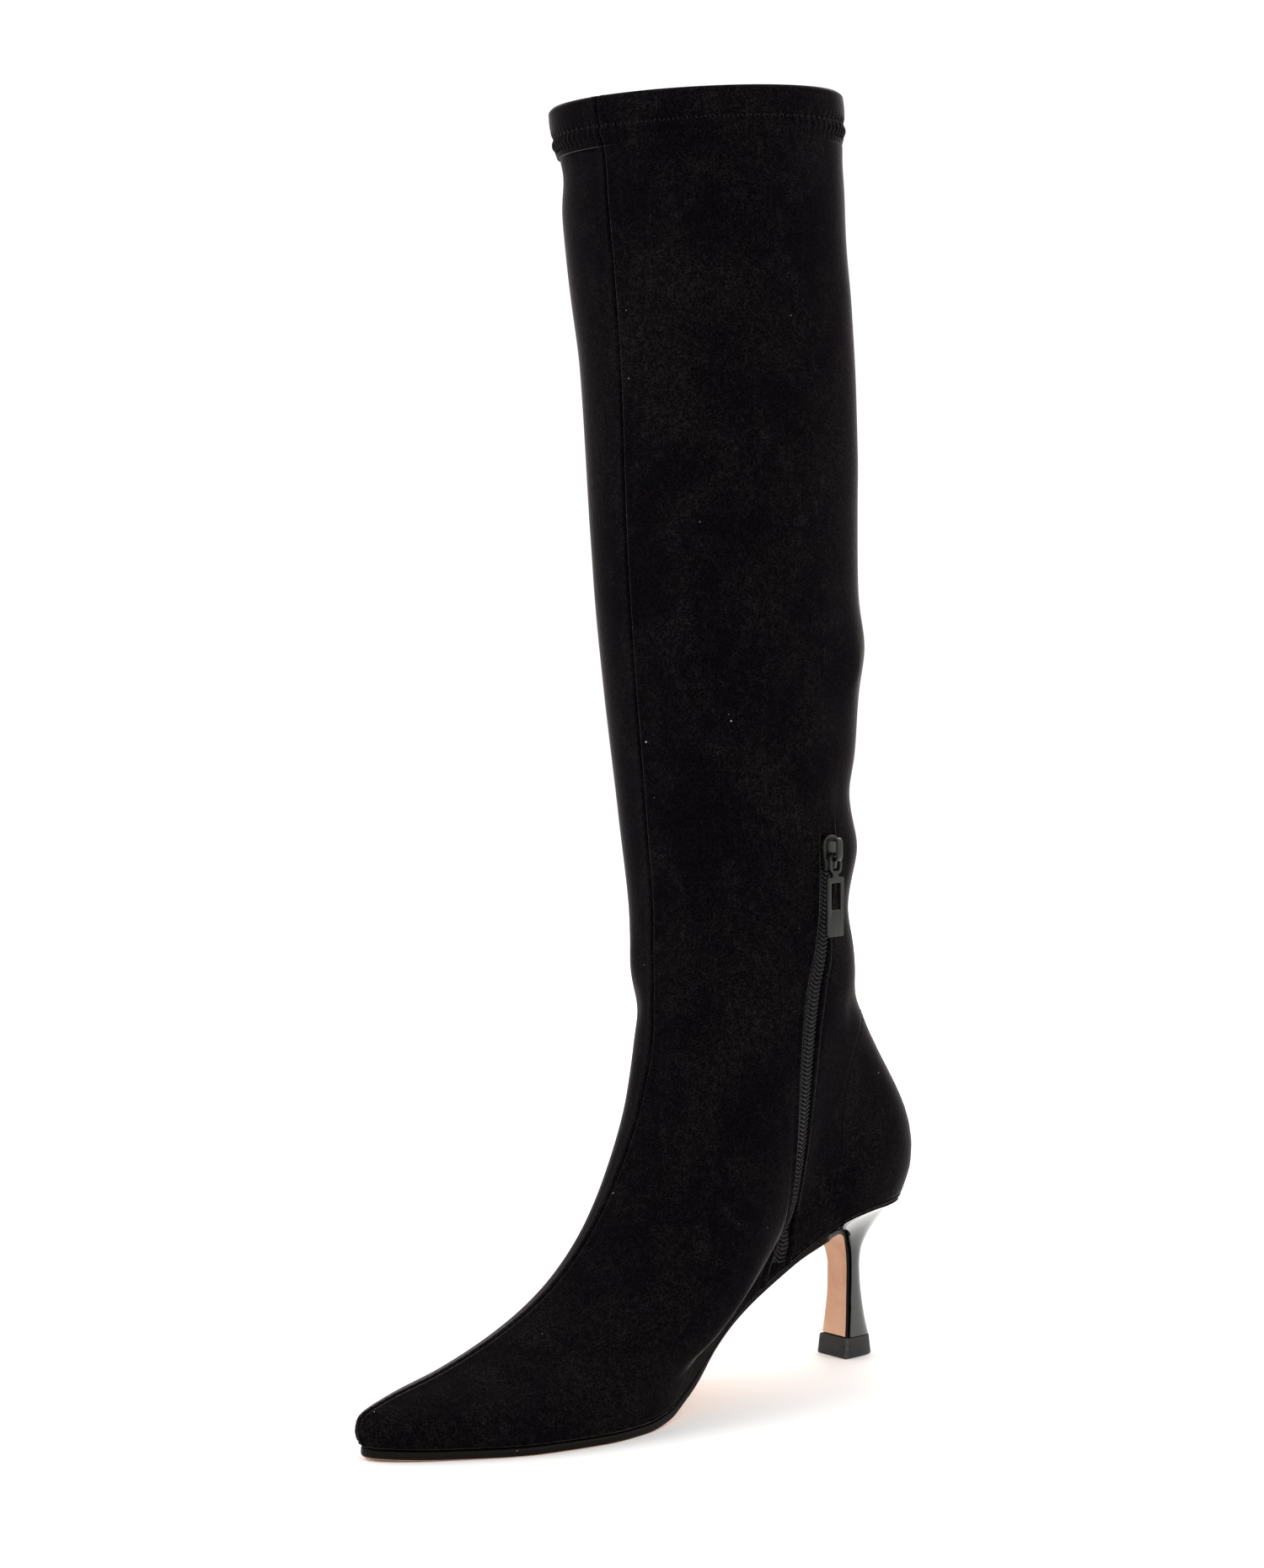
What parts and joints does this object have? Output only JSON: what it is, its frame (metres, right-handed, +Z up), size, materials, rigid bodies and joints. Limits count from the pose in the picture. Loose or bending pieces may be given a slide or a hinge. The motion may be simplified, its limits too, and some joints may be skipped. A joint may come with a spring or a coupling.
{
  "type": "knee-high boot",
  "caption": "Knee-high stretch boot with a pointed toe, slim flared heel and short inner ankle zip, standing empty on its sole.",
  "frame": {"origin": "middle of the boot's box, on the floor plane that heel and forefoot stand on", "axes": "+Z up, -Y towards the toe, +X towards the wearer's inner side (it is a right boot)"},
  "size_m": [0.1024, 0.2454, 0.4429],
  "materials": {
    "suede": "napped microsuede, matte with a soft sheen",
    "insole": "matte lining cloth",
    "sole": "smooth tan sheet, edges inked black",
    "heel": "gloss black lacquer",
    "rubber": "matte black",
    "coil": "dark nylon coil",
    "gunmetal": "gunmetal plate"
  },
  "bodies": {
    "boot": {"upper": "suede", "collar_band": "suede", "insole": "insole", "outsole": "sole", "heel": "heel", "top_piece": "rubber", "zip_chain": "coil", "zip_slider": "gunmetal"},
    "pull": {"zip_pull": "gunmetal"}
  },
  "joints": [
    {"name": "zip_pull_hinge", "type": "hinge", "parent": "boot", "child": "pull", "pos_m": [0.04317, 0.05418, 0.18375], "axis": [0.1722, -0.9851, 0], "range_deg": [-4, 150]}
  ]
}
